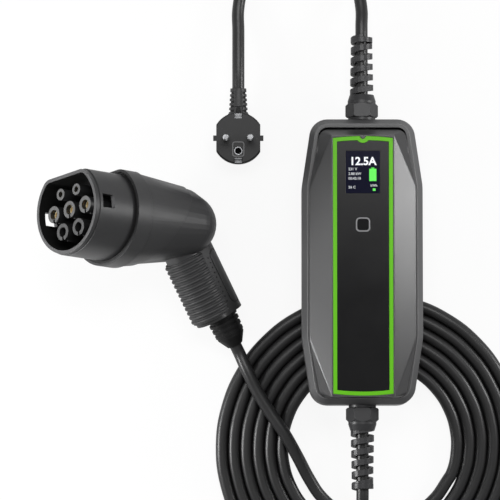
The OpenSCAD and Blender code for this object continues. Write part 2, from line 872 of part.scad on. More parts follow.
module contact(p, bore_r) {
    on_connector() difference() {
        along_face(-contact_tail, contact_x) translate(p) circle(bore_r + contact_wall);
        along_face(contact_x - contact_depth, contact_x + cut) translate(p) circle(bore_r);
    }
}

module earth_contact() { color("#c9a24a") contact(LARGE[0], power_bore_r); }
module line_contact() { color("#c9a24a") contact(LARGE[1], power_bore_r); }
module neutral_contact() { color("#c9a24a") contact(LARGE[2], power_bore_r); }
module signal_contacts() { color("#c9a24a") for (p = SMALL) contact(p, signal_bore_r); }

// Everything on the handle's side of the slanting seam between housing and handle
module behind_seam(gap = 0) {
    translate([-seam_back, 0, 0]) rotate([0, -seam_angle, 0])
        translate([-seam_reach - gap, -seam_reach / 2, -seam_reach]) cube(seam_reach * [1, 1, 2]);
}

module handle_section(grow = 0) {
    union() {
        circle(handle_r + grow);
        translate([-handle_deep, 0]) circle(handle_r + grow);
        translate([-handle_deep, -handle_r - grow]) square([handle_deep, 2 * (handle_r + grow)]);
    }
}

// Long bar across the handle, whose outline marks the flat panel on each of its sides
module inset_form(inset) {
    r = inset_w / 2 - inset;
    translate(handle_at) rotate([0, 270 - handle_angle, 0]) translate([inset_x, 0, 0]) rotate([90, 0, 0])
        translate([0, 0, -2 * handle_r]) linear_extrude(4 * handle_r) union() {
            translate([-r, inset_start + inset_w / 2]) square([2 * r, inset_end - inset_start - inset_w]);
            for (z = [inset_start, inset_end - inset_w]) translate([0, z + inset_w / 2]) circle(r, $fn = 32);
        }
}

module along_handle(z0, z1) {
    translate(handle_at) rotate([0, 270 - handle_angle, 0]) slab(z0, z1) children();
}

// Swelling from the collar round the heel to the root of the handle
module head_form(grow = 0) {
    hull() {
        along_face(-collar_l - cut, -collar_l + cut)
            shroud_outline(collar_grow - collar_round - seam_step + grow);
        for (side = [-1, 1]) {
            translate([-heel_back, side * heel_side, heel_z]) sphere(heel_r + grow, $fn = 40);
            translate([back_at[0], side * back_at[1], back_at[2]]) sphere(back_r + grow, $fn = 40);
        }
        along_handle(root_start, root_end) handle_section(root_grow + grow);
    }
}

module head_housing() {
    color("#434447") on_connector() difference() {
        union() {
            along_face(-collar_l, 0) shroud_outline(collar_grow);
            head_form(seam_step);
        }
        behind_seam();
        along_face(-spigot_back - clear, cut) shroud_outline(clear);
        along_face(-groove_l - clear, cut) shroud_outline(groove_w + clear);
        along_face(-seam_back, -spigot_back) circle(clamp_r + clear);
    }
}

module grip_handle() {
    color("#2b2c2e") on_connector() difference() {
        union() {
            intersection() {
                head_form();
                behind_seam(clear);
            }
            intersection() {
                along_handle(root_start / 2, handle_l) handle_section();
                behind_seam(clear);
            }
        }
        along_handle(-heel_r, handle_l + cut) translate([-guard_shift, 0]) circle(clamp_r + clear);
        intersection() {
            difference() {
                inset_form(0);
                inset_form(inset_line);
            }
            difference() {
                along_handle(inset_start, inset_end) handle_section(cut);
                along_handle(inset_start - cut, inset_end + cut) handle_section(-inset_depth);
            }
        }
    }
}

// Soft sleeve with rounded ribs, turned about the axis of the handle's finger side
module grip_sleeve() {
    inner = handle_r + clear;
    sleeve_l = (rib_count - 1) * rib_pitch + 2 * rib_r + 2 * cut;
    color("#202123") on_handle() translate([-handle_deep, 0, sleeve_start])
        rotate([0, 0, 180 - sleeve_span / 2]) rotate_extrude(angle = sleeve_span, $fn = 96) union() {
            translate([inner, 0]) square([grip_t, sleeve_l]);
            for (i = [0:rib_count - 1])
                translate([inner + grip_t, cut + rib_r + i * rib_pitch]) circle(rib_r, $fn = 24);
        }
}

module cord_clamp() {
    color("#6a6c70") on_handle() translate([-guard_shift, 0]) difference() {
        slab(clamp_at, clamp_at + clamp_l) circle(clamp_r);
        slab(clamp_at - cut, clamp_at + clamp_l + cut) circle(cord_r + clear);
    }
}

module handle_guard() {
    core_r = guard_r - guard_groove;
    rib_l = (guard_l - guard_nose) / (2 * guard_ribs);
    color("#1a1b1c") on_handle() translate([-guard_shift, 0]) difference() {
        union() {
            slab(handle_l - guard_root, handle_l + cut) circle(clamp_r);
            rotate_extrude() union() {
                polygon([[0, handle_l + clear], [core_r, handle_l + clear],
                    [core_r, handle_l + guard_l - guard_nose], [guard_tip_r, handle_l + guard_l],
                    [0, handle_l + guard_l]]);
                for (i = [0:guard_ribs - 1]) translate([0, handle_l + clear + 2 * i * rib_l])
                    square([guard_r - guard_fall * i, rib_l]);
            }
        }
        slab(handle_l - guard_root - cut, handle_l + guard_l + cut) circle(cord_r + cord_room);
    }
}

// Mains plug

module plug_body() {
    color("#3a3b3d") on_plug() difference() {
        union() {
            intersection() {
                rotate_extrude($fn = 96) polygon([[0, 0], [plug_r - plug_edge, 0], [plug_r, plug_edge],
                    [plug_r, plug_h - plug_edge / 2], [plug_r - plug_edge / 2, plug_h], [0, plug_h]]);
                translate([0, 0, plug_h / 2]) cube([2 * plug_half_w, 3 * plug_r, 2 * plug_h], center = true);
            }
            slab(plug_h - lug_h, plug_h) square([2 * (plug_half_w + lug_w), lug_l], center = true);
            translate([0, 0, plug_cord_z]) rotate([-90, 0, 0]) rotate_extrude()
                polygon([[0, 0], [plug_neck_r, 0], [plug_neck_r, plug_guard_start],
                    [plug_guard_r, plug_guard_start + plug_neck_l], [guard_tip_r, plug_guard_end],
                    [0, plug_guard_end]]);
        }
        translate([0, 0, plug_cord_z]) rotate([-90, 0, 0])
            slab(plug_guard_end - plug_guard_bore - clear, plug_guard_end + cut) circle(cord_r + cord_room);
        for (i = [0:plug_guard_slots - 1], side = [-1, 1])
            translate([side * slot_x, slot_y + slot_pitch * i, plug_cord_z])
                cube([slot_l, slot_w, 4 * plug_guard_r], center = true);
        for (side = [-1, 1]) translate([side * pin_pitch / 2, 0, 0])
            slab(plug_h - pin_root, plug_h + cut) circle(pin_root_r + clear / 2);
        translate([0, -earth_drop, 0])
            slab(plug_h - earth_depth, plug_h + cut) circle(earth_r + earth_wall + clear / 2);
        for (side = [-1, 1]) translate([0, side * plug_r, plug_h])
            cube([clip_w + 2 * clear, 2 * (clip_l - clear), 2 * (clip_t + clip_h)], center = true);
    }
}

module plug_pin(side) {
    on_plug() translate([side * pin_pitch / 2, 0, plug_h]) rotate_extrude($fn = 48)
        polygon([[0, clear - pin_root], [pin_root_r, clear - pin_root], [pin_root_r, 0], [pin_r, 0],
            [pin_r, pin_l - pin_tip], [pin_r - pin_nose, pin_l], [0, pin_l]]);
}

module live_pin() { color("#c4c7ca") plug_pin(-1); }
module neutral_pin() { color("#c4c7ca") plug_pin(1); }

// Sprung earth clips that wrap over the two ends of the plug's face
module earth_clips() {
    color("#b7babd") on_plug() for (side = [-1, 1])
        translate([0, side * (plug_r - clip_l + clear), plug_h]) union() {
            translate([-clip_w / 2, side > 0 ? 0 : cut - clip_l, -clip_t - clip_h])
                cube([clip_w, clip_l - cut, clip_t]);
            translate([-clip_w / 2, side > 0 ? 0 : -clip_t, -clip_t - clip_h])
                cube([clip_w, clip_t, clip_h]);
        }
}

module earth_socket() {
    color("#b7babd") on_plug() translate([0, -earth_drop, plug_h - earth_depth + clear]) difference() {
        cylinder(r = earth_r + earth_wall, h = earth_depth - clear);
        translate([0, 0, 1]) cylinder(r = earth_r, h = earth_depth);
    }
}

// Cords

module mains_cord() { color("#1d1d1e") cord(mains_route); }
module output_tail() { color("#1d1d1e") cord(tail_route); }
module output_lead() { color("#1d1d1e") cord(lead_route); }

module output_coil() {
    color("#1d1d1e") translate([coil_x, coil_y, 0]) rotate_extrude($fn = 96) union() {
        translate([coil_r_in + cord_r, 0]) square([coil_r_out - coil_r_in - cord_d, cord_d]);
        for (r = [coil_r_in + cord_r, coil_r_out - cord_r]) translate([r, cord_r]) circle(cord_r, $fn = 32);
    }
}

rear_shell();
front_cover();
cover_seal();
panel_trim();
front_panel();
display_window();
display_module();
display_board();
button_ring();
button_cap();
button_switch();
control_board();
relays();
current_transformer();
supply_transformer();
capacitors();
terminal_blocks();
board_screws();
cover_screws();
inlet_gland();
inlet_locknut();
inlet_seal();
inlet_nut();
outlet_gland();
outlet_locknut();
outlet_seal();
outlet_nut();
shroud();
shroud_seal();
contact_carrier();
power_sleeves();
spare_sleeves();
signal_sleeves();
line_contact();
neutral_contact();
earth_contact();
signal_contacts();
head_housing();
grip_handle();
grip_sleeve();
cord_clamp();
handle_guard();
plug_body();
live_pin();
neutral_pin();
earth_clips();
earth_socket();
mains_cord();
output_lead();
output_coil();
output_tail();
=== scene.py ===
# %% [markdown]
# # A portable car charger lying on a white table
# The solids of the set come from a imported model: the control box, the glands, the connector and the plug.
# This lesson adds what solids can't give: the flexible cords, the lit display and the finish of each surface.
# The model is loaded first.

# %% Load the solids
import math

import bpy
from mathutils import Matrix, Vector


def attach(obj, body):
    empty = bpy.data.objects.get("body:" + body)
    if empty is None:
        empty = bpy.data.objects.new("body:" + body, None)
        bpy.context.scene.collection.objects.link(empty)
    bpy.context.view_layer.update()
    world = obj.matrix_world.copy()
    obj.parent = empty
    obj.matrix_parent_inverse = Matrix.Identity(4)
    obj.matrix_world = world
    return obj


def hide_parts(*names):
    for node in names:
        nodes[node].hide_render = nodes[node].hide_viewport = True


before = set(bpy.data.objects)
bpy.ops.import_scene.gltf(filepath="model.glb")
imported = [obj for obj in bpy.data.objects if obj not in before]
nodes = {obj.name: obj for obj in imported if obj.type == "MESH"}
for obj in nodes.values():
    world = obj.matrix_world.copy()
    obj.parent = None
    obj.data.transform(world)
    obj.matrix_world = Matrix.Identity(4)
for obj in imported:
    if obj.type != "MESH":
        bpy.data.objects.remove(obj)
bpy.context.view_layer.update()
MM = 0.001

# %% [markdown]
# ## Camera
# The picture is taken from straight above, so the camera looks down the Z axis and needs no turning.
# It stands far away with a long lens: then the front of the thick control box hardly looks larger than its
# back, just as in the photograph.

# %% Camera
VIEW_X, VIEW_Y, VIEW_HEIGHT = 14.1 * MM, 10 * MM, 3.0
SENSOR_MM, LENS_MM, VIEW_REACH = 36, 275.6, 20
camera_data = bpy.data.cameras.new("camera")
camera_data.sensor_width = SENSOR_MM
camera_data.lens = LENS_MM
camera_data.clip_end = VIEW_REACH
camera = bpy.data.objects.new("camera", camera_data)
camera.location = (VIEW_X, VIEW_Y, VIEW_HEIGHT)
bpy.context.scene.collection.objects.link(camera)
bpy.context.scene.camera = camera
print("camera height:", VIEW_HEIGHT)

# %% [markdown]
# ## Where the box lies
# The box leans on the outer turn of its coiled cord, so it is tilted a few degrees about the X axis. Pieces
# that belong to the box are easiest to make along the box's own axes. One matrix then puts them in place.

# %% Box axes
CORD_R, REST_GAP = 4.8, 0.1
BOX_X, BOX_Y, PIVOT_Y = 101, -1.6, 107.5
COIL_X, COIL_Y, COIL_R = 110, -143.4, 120
box_tilt = 2 * math.atan((CORD_R + REST_GAP) / (BOX_Y + PIVOT_Y - COIL_Y - COIL_R))
box_place = (Matrix.Translation(Vector((BOX_X, BOX_Y + PIVOT_Y, 0)) * MM)
             @ Matrix.Rotation(-box_tilt, 4, "X")
             @ Matrix.Translation(Vector((0, -PIVOT_Y, 0)) * MM))


def on_box(x, y, z):
    """A point along the box's own axes in millimetres, as a point in the scene in metres."""
    return box_place @ (Vector((x, y, z)) * MM)


print("box tilt:", round(math.degrees(box_tilt), 2))

# %% [markdown]
# ## Cords
# A cord is one smooth curve with a round bevel. Its points are the route that the solids of the cord follow:
# straight out of the gland, down to the table, and along it. Handles of type Auto give a soft line through
# all the points. The bevel has a depth of one, so the radius of each point is the radius of the cord there.

# %% Cord maker
GLAND_Z, GLAND_EXIT, GLAND_RUN = 22, 132, (128, 140, 153, 166, 184)
CURVE_STEPS, ROUND_STEPS = 6, 8


def cord_curve(name, points):
    curve = bpy.data.curves.new(name, "CURVE")
    curve.dimensions = "3D"
    curve.resolution_u = CURVE_STEPS
    curve.bevel_depth = 1
    curve.bevel_resolution = ROUND_STEPS
    curve.use_fill_caps = True
    spline = curve.splines.new("BEZIER")
    spline.bezier_points.add(len(points) - 1)
    for knot, point in zip(spline.bezier_points, points):
        knot.co = point
        knot.radius = CORD_R * MM
        knot.handle_left_type = knot.handle_right_type = "AUTO"
    cord = bpy.data.objects.new(name, curve)
    bpy.context.scene.collection.objects.link(cord)
    length = sum((b - a).length for a, b in zip(points, points[1:]))
    print(name, "points:", len(points), "about", round(length, 3), "m")
    return cord


def route(points):
    """A list of points in millimetres as points in metres."""
    return [Vector(point) * MM for point in points]


# %% [markdown]
# ## Mains lead
# The short lead runs up out of the picture in an arch and comes back down to the plug, which lies on its
# back. The arch could be left to a simulation, but then it would lie elsewhere than the solid of the lead.
# So its points are listed and follow the solid's.

# %% Mains lead
MAINS_ARCH = [(101, 199, 12), (97, 216, 8), (87, 232, 5), (71, 242, 4.8), (53, 246, 4.8), (35, 242, 4.8),
              (19, 232, 4.8), (9, 216, 5), (5, 199, 6), (5, 181, 8.5), (5, 163, 11.5), (5, 148, 13),
              (5, 136, 13), (5, 123, 13)]
mains_points = [on_box(0, y, GLAND_Z) for y in GLAND_RUN] + route(MAINS_ARCH)
mains_lead = cord_curve("mains_lead", mains_points)

# %% [markdown]
# ## Output cord
# The long cord leaves the lower gland, turns round on itself and lies in a flat coil, turn beside turn. From
# the hole of the coil it climbs over the turns and runs to the handle of the connector. A spiral whose radius
# grows by almost one cord per turn gives the coil: soft cords that lie side by side press each other a
# little. The points are listed from the handle to the box and turned round at the end.

# %% Output cord
TURN_PRESS = 0.15
COIL_INNER, COIL_START, COIL_TURNS, PER_TURN = 65.5, 341, 5.678, 24
INNER_X, INNER_Y, INNER_R, INNER_START, INNER_SWEEP, INNER_STEPS = 114.9, -143.1, 60.2, 222, 112, 6
HANDLE_END = [(-4.3, -49.57, 16.29), (2.55, -63.83, 13.84), (5.97, -70.96, 12.62)]
CROSSING = [(11.5, -83.5, 14.8), (19.5, -100, 14.8), (30, -117, 14.6), (41.5, -134, 14.2),
            (51, -151, 11), (61, -170, 6.3)]
RISE_START = (0.1, 0.9, 2.8)
RISE = [(39, -238, 12), (56, -241, 14.5), (73, -238, 17.5), (88, -228, 25), (97, -214, 34), (100.5, -198, 41)]


def spiral(x, y, r0, grow, start, sweep, count):
    """Points on the table about (x, y), from an angle in degrees; grow is what the radius gains per turn."""
    turned = [sweep * i / count for i in range(count + 1)]
    return [(x + (r0 + grow * a / 360) * math.cos(math.radians(start + a)),
             y + (r0 + grow * a / 360) * math.sin(math.radians(start + a)), CORD_R) for a in turned]


inner_turn = spiral(INNER_X, INNER_Y, INNER_R, 0, INNER_START, INNER_SWEEP, INNER_STEPS)
coil = spiral(COIL_X, COIL_Y, COIL_INNER, 2 * CORD_R - TURN_PRESS, COIL_START, 360 * COIL_TURNS,
              round(COIL_TURNS * PER_TURN))
coil[-3:] = [(x, y, z + up) for (x, y, z), up in zip(coil[-3:], RISE_START)]
output_points = [on_box(0, -y, GLAND_Z) for y in GLAND_RUN]
output_points += route((HANDLE_END + CROSSING + inner_turn + coil + RISE)[::-1])
output_cord = cord_curve("output_cord", output_points)

# %% [markdown]
# ## Modelling steps
# Every new piece starts as a primitive and is shaped in edit mode. An operator acts on all that is selected,
# so everything is deselected before a primitive is added. The helpers hold the steps that repeat: the start
# of a piece, a plate with rounded corners, and its thickness.

# %% Modelling steps


def start_piece(name, add_primitive, **settings):
    """Adds a primitive with nothing else selected and names it."""
    bpy.ops.object.select_all(action="DESELECT")
    add_primitive(**settings)
    piece = bpy.context.object
    piece.name = name
    return piece


def round_plate(piece, width, length, corner, steps):
    """Gives a unit plane its size and round corners, and leaves it selected in edit mode."""
    piece.scale = (width * MM, length * MM, 1)
    bpy.ops.object.transform_apply(location=True, rotation=False, scale=True)
    bpy.ops.object.mode_set(mode="EDIT")
    bpy.ops.mesh.select_all(action="SELECT")
    bpy.ops.mesh.bevel(offset=corner * MM, segments=steps, affect="VERTICES")


def raise_plate(height):
    """Extrudes the selected faces upwards, points all faces outwards and leaves edit mode."""
    bpy.ops.mesh.extrude_region_move(TRANSFORM_OT_translate={"value": (0, 0, height * MM)})
    bpy.ops.mesh.select_all(action="SELECT")
    bpy.ops.mesh.normals_make_consistent(inside=False)
    bpy.ops.object.mode_set(mode="OBJECT")


# %% [markdown]
# ## Key round the earth hole
# A low moulded rim frames the earth hole in the face of the plug. A plane gets rounded corners from a bevel
# of its corner points, an inset leaves a narrow band when its middle is deleted, and the band is raised a
# little. It is made here because it belongs to the plug.

# %% Earth key
PLUG_X, PLUG_FACE, EARTH_Y = 5, 26, 87
KEY_SHIFT, KEY_SINK = 1.4, 0.05
KEY_W, KEY_L, KEY_CORNER, KEY_BAND, KEY_H, KEY_STEPS = 9.6, 12, 2.2, 0.9, 0.4, 5
earth_key = start_piece("earth_key", bpy.ops.mesh.primitive_plane_add, size=1,
                        location=Vector((PLUG_X, EARTH_Y + KEY_SHIFT, PLUG_FACE - KEY_SINK)) * MM)
round_plate(earth_key, KEY_W, KEY_L, KEY_CORNER, KEY_STEPS)
bpy.ops.mesh.inset(thickness=KEY_BAND * MM)
bpy.ops.mesh.delete(type="FACE")
bpy.ops.mesh.select_all(action="SELECT")
raise_plate(KEY_H)
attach(earth_key, "set")
print("earth key faces:", len(earth_key.data.polygons))

# %% [markdown]
# ## Core of the plug's bend guard
# On the real plug the slots of the bend guard don't go right through: a dark core closes them from within. A
# tube would do, but nobody sees inside it, so a cone is enough. It follows the taper of the guard and stays a
# little under its surface. Its end faces are picked by the way they look, and a bevel rounds their rims.

# %% Guard core
CORE_START, CORE_END, CORE_Z = 117, 135, 13
CORE_WIDE, CORE_NARROW, CORE_RIM, CORE_SIDES = 6.5, 5.4, 0.4, 48
RIM_STEPS, ALONG = 3, 0.9


def round_rims(piece, wanted, radius):
    """Rounds the rims of the faces for which wanted(face) holds."""
    bpy.ops.object.mode_set(mode="EDIT")
    bpy.ops.mesh.select_mode(type="FACE")
    bpy.ops.mesh.select_all(action="DESELECT")
    bpy.ops.object.mode_set(mode="OBJECT")
    for face in piece.data.polygons:
        face.select = wanted(face)
    bpy.ops.object.mode_set(mode="EDIT")
    bpy.ops.mesh.bevel(offset=radius * MM, segments=RIM_STEPS, affect="EDGES")
    bpy.ops.object.mode_set(mode="OBJECT")


guard_core = start_piece(
    "guard_core", bpy.ops.mesh.primitive_cone_add, vertices=CORE_SIDES, radius1=CORE_WIDE * MM,
    radius2=CORE_NARROW * MM, depth=(CORE_END - CORE_START) * MM,
    location=Vector((PLUG_X, (CORE_START + CORE_END) / 2, CORE_Z)) * MM, rotation=(-math.pi / 2, 0, 0))
bpy.ops.object.transform_apply(location=True, rotation=True, scale=True)
round_rims(guard_core, lambda face: abs(face.normal.y) > ALONG, CORE_RIM)
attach(guard_core, "set")
print("guard core faces:", len(guard_core.data.polygons))

# %% [markdown]
# ## Dots on the handle
# A row of small round studs lies between the ribs and the panel of the handle. One stud is modelled: a short
# cylinder whose upper rim is rounded. A ray that is shot straight down finds the surface, and which way it
# faces, under each place in the row. A copy of the stud is put there, and the copies are joined into one
# piece.

# %% Grip dots
DOT_FIRST, DOT_LAST, DOT_COUNT = Vector((-18.3, 3.8)), Vector((-3.7, -29.4)), 10
DOT_R, DOT_H, DOT_RIM, DOT_SIDES = 0.55, 1.0, 0.3, 16
RAY_START, DOWN = 200, (0, 0, -1)
grip_dots = start_piece("grip_dots", bpy.ops.mesh.primitive_cylinder_add, vertices=DOT_SIDES,
                        radius=DOT_R * MM, depth=DOT_H * MM)
round_rims(grip_dots, lambda face: face.normal.z > ALONG, DOT_RIM)
studs = [grip_dots]
while len(studs) < DOT_COUNT:
    copy = grip_dots.copy()
    copy.data = grip_dots.data.copy()
    bpy.context.scene.collection.objects.link(copy)
    studs.append(copy)
bpy.context.view_layer.update()
for step, stud in enumerate(studs):
    x, y = DOT_FIRST.lerp(DOT_LAST, step / (DOT_COUNT - 1))
    above = Vector((x, y, RAY_START)) * MM
    hits = [nodes[name].ray_cast(above, DOWN) for name in ("grip_handle", "grip_sleeve")]
    place, outward = max((hit[1:3] for hit in hits if hit[0]), key=lambda found: found[0].z)
    stud.location = place
    stud.rotation_euler = outward.to_track_quat("Z", "Y").to_euler()
    stud.select_set(True)
bpy.context.view_layer.objects.active = grip_dots
bpy.ops.object.join()
bpy.ops.object.transform_apply(location=True, rotation=True, scale=True)
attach(grip_dots, "set")
print("grip dots:", DOT_COUNT, "faces:", len(grip_dots.data.polygons))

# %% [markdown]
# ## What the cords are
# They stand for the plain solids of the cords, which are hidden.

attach(mains_lead, "set")
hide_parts("mains_cord")
plug_nodes = [nodes[n] for n in ("plug_body", "live_pin", "neutral_pin", "earth_clips", "earth_socket")]
plug_nodes += [earth_key, guard_core]
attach(output_cord, "set")
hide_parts("output_tail", "output_coil", "output_lead")
print("cords:", mains_lead.name, output_cord.name, "pieces on the plug:", len(plug_nodes))

# %% [markdown]
# ## Shared effects
# Moulded plastic and rubber are never one flat colour. Two small node groups are shared by all finishes of
# the set. The first gives the fine grain of a spark-eroded mould, the second the soft uneven sheen that hands
# leave. Pictures could give both, but noise on Object coordinates needs no unwrapping and moves with a piece.

# %% Grain and handling groups
VALUE_A, VALUE_B = 2, 3


def add_node(tree, kind, **inputs):
    node = tree.nodes.new(kind)
    for key, value in inputs.items():
        node.inputs[key.replace("_", " ")].default_value = value
    return node


def new_group(name, scale, outputs):
    group = bpy.data.node_groups.new(name, "ShaderNodeTree")
    scale_in = group.interface.new_socket("Scale", in_out="INPUT", socket_type="NodeSocketFloat")
    scale_in.default_value = scale
    for output in outputs:
        group.interface.new_socket(output, in_out="OUTPUT", socket_type="NodeSocketFloat")
    return group, group.nodes.new("NodeGroupInput"), group.nodes.new("NodeGroupOutput")


mould_grain, grain_in, grain_out = new_group("mould_grain", 2200.0, ["Height", "Tone"])
grain_place = mould_grain.nodes.new("ShaderNodeTexCoord")
fine = add_node(mould_grain, "ShaderNodeTexNoise", Detail=3.0, Roughness=0.55)
pits = mould_grain.nodes.new("ShaderNodeTexVoronoi")
blend = add_node(mould_grain, "ShaderNodeMix", Factor=0.4)
for texture in (fine, pits):
    mould_grain.links.new(grain_place.outputs["Object"], texture.inputs["Vector"])
    mould_grain.links.new(grain_in.outputs["Scale"], texture.inputs["Scale"])
mould_grain.links.new(fine.outputs["Fac"], blend.inputs[VALUE_A])
mould_grain.links.new(pits.outputs["Distance"], blend.inputs[VALUE_B])
mould_grain.links.new(blend.outputs[0], grain_out.inputs["Height"])
mould_grain.links.new(fine.outputs["Fac"], grain_out.inputs["Tone"])

hand_sheen, sheen_in, sheen_out = new_group("hand_sheen", 28.0, ["Sheen"])
sheen_place = hand_sheen.nodes.new("ShaderNodeTexCoord")
cloud = add_node(hand_sheen, "ShaderNodeTexNoise", Detail=4.0, Roughness=0.6, Distortion=0.4)
contrast = add_node(hand_sheen, "ShaderNodeMapRange", From_Min=0.15, From_Max=0.85)
hand_sheen.links.new(sheen_place.outputs["Object"], cloud.inputs["Vector"])
hand_sheen.links.new(sheen_in.outputs["Scale"], cloud.inputs["Scale"])
hand_sheen.links.new(cloud.outputs["Fac"], contrast.inputs["Value"])
hand_sheen.links.new(contrast.outputs["Result"], sheen_out.inputs["Sheen"])
print("groups:", mould_grain.name, hand_sheen.name)

# %% [markdown]
# ## Finish maker
# A finish is a Principled shader with two close tones of one colour, a roughness that changes over the
# surface and a shallow bump. A bevel node rounds the look of every edge, as a mould does, so edges catch
# light, and an occlusion node paints shade: it darkens the colour in recesses and seams, where little light
# reaches.

# %% Finish maker
COLOUR_A, COLOUR_B, COLOUR_OUT = 6, 7, 2
BUMP_STRENGTH, SHADE_SAMPLES = 0.6, 6


def finish(name, colour, rough=0.5, rough_change=0.1, tone=0.15, grain=2200.0, depth=0.00004, metallic=0.0,
           specular=0.5, edge=0.0005, shade_reach=0.004):
    material = bpy.data.materials.new(name)
    material.use_nodes = True
    tree = material.node_tree
    shader = tree.nodes["Principled BSDF"]
    grains = tree.nodes.new("ShaderNodeGroup")
    grains.node_tree = mould_grain
    grains.inputs["Scale"].default_value = grain
    sheen = tree.nodes.new("ShaderNodeGroup")
    sheen.node_tree = hand_sheen
    tones = tree.nodes.new("ShaderNodeMix")
    tones.data_type = "RGBA"
    tones.inputs[COLOUR_A].default_value = (*[c * (1 - tone) for c in colour], 1)
    tones.inputs[COLOUR_B].default_value = (*[min(1, c * (1 + tone)) for c in colour], 1)
    gloss = add_node(tree, "ShaderNodeMapRange", To_Min=rough - rough_change, To_Max=rough + rough_change)
    bump = add_node(tree, "ShaderNodeBump", Strength=BUMP_STRENGTH, Distance=depth)
    edges = add_node(tree, "ShaderNodeBevel", Radius=edge)
    # Painted shade: an occlusion node darkens the base colour in recesses and seams.
    crease_shade = add_node(tree, "ShaderNodeAmbientOcclusion", Distance=shade_reach)
    crease_shade.samples = SHADE_SAMPLES
    shader.inputs["Metallic"].default_value = metallic
    shader.inputs["Specular IOR Level"].default_value = specular
    tree.links.new(grains.outputs["Tone"], tones.inputs["Factor"])
    tree.links.new(tones.outputs[COLOUR_OUT], crease_shade.inputs["Color"])
    tree.links.new(crease_shade.outputs["Color"], shader.inputs["Base Color"])
    tree.links.new(sheen.outputs["Sheen"], gloss.inputs["Value"])
    tree.links.new(gloss.outputs["Result"], shader.inputs["Roughness"])
    tree.links.new(grains.outputs["Height"], bump.inputs["Height"])
    tree.links.new(edges.outputs["Normal"], bump.inputs["Normal"])
    tree.links.new(bump.outputs["Normal"], shader.inputs["Normal"])
    return material


def coat(material, *pieces):
    for piece in pieces:
        piece.data.materials.append(material)
    print(material.name, "on", len(pieces), "pieces")


def dress(material, *names):
    """Gives a finish to solids, in place of the plain one that they were loaded with."""
    for name in names:
        nodes[name].data.materials.clear()
    coat(material, *[nodes[name] for name in names])


# %% [markdown]
# ## Second tones
# Some pieces have two tones, such as a handle that fades towards its end. A second material on some of the
# faces would end at a hard border. So a second colour is laid over the first one where a mask is white. The
# plainest mask is a ramp along an axis of the Object coordinates.

# %% Second tones


def second_tone(material, mask, colour):
    """Lays another colour over a finish where the mask, an output of one of its nodes, is one."""
    tree = material.node_tree
    shader = tree.nodes["Principled BSDF"]
    first = shader.inputs["Base Color"].links[0].from_socket
    both_tones = tree.nodes.new("ShaderNodeMix")
    both_tones.data_type = "RGBA"
    both_tones.inputs[COLOUR_B].default_value = (*colour, 1)
    tree.links.new(mask, both_tones.inputs["Factor"])
    tree.links.new(first, both_tones.inputs[COLOUR_A])
    tree.links.new(both_tones.outputs[COLOUR_OUT], shader.inputs["Base Color"])


def mask_between(tree, value, start, end):
    """A mask that grows from none to full while a value goes from start to end."""
    mask = add_node(tree, "ShaderNodeMapRange", From_Min=start, From_Max=end)
    tree.links.new(value, mask.inputs["Value"])
    return mask.outputs["Result"]


def ramp(material, axis, start, end):
    """A mask that grows between two places along an axis, in metres."""
    tree = material.node_tree
    place = tree.nodes.new("ShaderNodeTexCoord")
    split = tree.nodes.new("ShaderNodeSeparateXYZ")
    tree.links.new(place.outputs["Object"], split.inputs["Vector"])
    return mask_between(tree, split.outputs[axis], start, end)


# %% [markdown]
# ## Painted edge highlights
# A paler colour is painted over the edges of a housing as a highlight, so they look paler than its faces.
# They could be painted by hand. Here the bevel node of the finish finds them: on an edge its normal leaves
# the true one, and the dot product of the two falls below one.

# %% Painted edge highlights
EDGE_FROM, EDGE_TO = 0.995, 0.93


def vector_math(tree, operation, first, second=None, scale=None):
    """A vector node; second is an output of another node or a plain vector."""
    node = tree.nodes.new("ShaderNodeVectorMath")
    node.operation = operation
    tree.links.new(first, node.inputs[0])
    if isinstance(second, bpy.types.NodeSocket):
        tree.links.new(second, node.inputs[1])
    elif second is not None:
        node.inputs[1].default_value = second
    if scale is not None:
        tree.links.new(scale, node.inputs["Scale"])
    return node


def painted_edge_highlights(material, colour):
    """Paints a highlight over the edges of a finish, in a paler colour."""
    tree = material.node_tree
    rounded = next(node for node in tree.nodes if node.bl_idname == "ShaderNodeBevel")
    true = tree.nodes.new("ShaderNodeNewGeometry")
    product = vector_math(tree, "DOT_PRODUCT", rounded.outputs["Normal"], true.outputs["Normal"])
    second_tone(material, mask_between(tree, product.outputs["Value"], EDGE_FROM, EDGE_TO), colour)
    return material


# %% [markdown]
# ## Housings
# The box and the connector are satin charcoal plastic. The cover is darker than the shell, and both get
# a painted highlight on their edges. The handle starts almost in the tone of the head and gets darker towards
# its end, so no border shows between the two. Gaskets, the ribbed sleeve and the bend guard are soft dark
# rubber.

# %% Plastics and rubbers
HANDLE_DARK_Y, HANDLE_PALE_Y = -0.03, 0.005
PLUG_DARK_Y, PLUG_PALE_Y = 0.112, 0.118
shell_plastic = finish("shell_plastic", (0.082, 0.082, 0.084), rough=0.34, rough_change=0.05, edge=0.001,
                       shade_reach=0.012)
# Painted highlight: the shell's edges get a paler colour.
dress(painted_edge_highlights(shell_plastic, (0.24, 0.24, 0.243)), "rear_shell")
cover_plastic = finish("cover_plastic", (0.032, 0.032, 0.0332), rough=0.3, rough_change=0.015, edge=0.0008)
